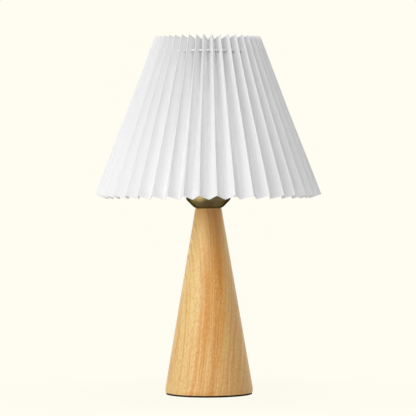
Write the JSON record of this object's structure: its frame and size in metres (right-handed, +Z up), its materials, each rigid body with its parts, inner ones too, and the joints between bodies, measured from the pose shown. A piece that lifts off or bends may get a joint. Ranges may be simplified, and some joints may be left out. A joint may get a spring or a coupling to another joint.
{
  "type": "pleated table lamp",
  "caption": "Table lamp with a conical pleated fabric shade on a wire frame, a brass cup around the lampholder and a tapered wooden base.",
  "frame": {"origin": "centre of the base pad's lower face, on the surface that the lamp stands on", "axes": "+Z up along the lamp's axis, -Y towards the front, +Y towards the mains lead's inlet at the back"},
  "size_m": [0.254, 0.2532, 0.4006],
  "materials": {
    "cover_fabric": "white pleated shade fabric on a clear stiffener, matt",
    "frame_wire": "white powder coat",
    "wood": "honey-toned hardwood, satin lacquer",
    "aged_brass": "antique brass, satin",
    "pad_foam": "black foam rubber",
    "bush_rubber": "black rubber",
    "cast_iron": "raw casting",
    "plated_steel": "zinc plated",
    "block_plastic": "natural polyamide",
    "brown_insulation": "brown insulation",
    "blue_insulation": "blue insulation",
    "holder_plastic": "black moulded plastic",
    "core_ceramic": "unglazed ceramic",
    "contact_brass": "bright brass",
    "washer_fibre": "vulcanised fibre",
    "bulb_metal": "nickel plated",
    "bulb_insulation": "black glass",
    "bulb_plastic": "white moulded plastic",
    "bulb_opal": "opal"
  },
  "bodies": {
    "lamp": {"wood_base": "wood", "brass_cup": "aged_brass", "base_pad": "pad_foam", "cord_bush": "bush_rubber", "base_weight": "cast_iron", "lower_washer": "plated_steel", "lower_nut": "plated_steel", "lamp_tube": "plated_steel", "lock_washer": "plated_steel", "lock_screw": "plated_steel", "terminal_block_screws": "plated_steel", "block_fixing_screw": "plated_steel", "terminal_screws": "plated_steel", "terminal_block": "block_plastic", "line_lead": "brown_insulation", "neutral_lead": "blue_insulation", "holder_cap": "holder_plastic", "holder_skirt": "holder_plastic", "holder_insert": "core_ceramic", "screw_shell": "contact_brass", "centre_contact": "contact_brass"},
    "shade": {"pleated_cover": "cover_fabric", "top_ring": "frame_wire", "bottom_ring": "frame_wire", "fitter_ring": "frame_wire", "fitter_arms": "frame_wire", "frame_ribs": "frame_wire"},
    "ring_washer": {"ring_washer": "washer_fibre"},
    "shade_ring": {"shade_ring": "holder_plastic"},
    "bulb_tip": {"bulb_tip": "contact_brass"},
    "bulb": {"bulb_insulator": "bulb_insulation", "bulb_cap": "bulb_metal", "bulb_housing": "bulb_plastic", "bulb_globe": "bulb_opal"}
  },
  "joints": [
    {"name": "shade_turn", "type": "hinge", "parent": "lamp", "child": "shade", "pos_m": [0, 0, 0.2381], "axis": [0, 0, 1], "continuous": true},
    {"name": "ring_rise", "type": "slide", "parent": "lamp", "child": "ring_washer", "axis": [0, 0, 1], "range_m": [0, 0.0161]},
    {"name": "ring_turn", "type": "hinge", "parent": "ring_washer", "child": "shade_ring", "pos_m": [0, 0, 0.2405], "axis": [0, 0, 1], "range_deg": [0, 2880]},
    {"name": "bulb_rise", "type": "slide", "parent": "lamp", "child": "bulb_tip", "axis": [0, 0, 1], "range_m": [0, 0.0255]},
    {"name": "bulb_turn", "type": "hinge", "parent": "bulb_tip", "child": "bulb", "pos_m": [0, 0, 0.24085], "axis": [0, 0, 1], "range_deg": [0, 2520]}
  ],
  "couplings": [
    {"joint": "ring_rise", "follows": "ring_turn", "m_per_rad": 0.00031831},
    {"joint": "bulb_rise", "follows": "bulb_turn", "m_per_rad": 0.00057757}
  ]
}
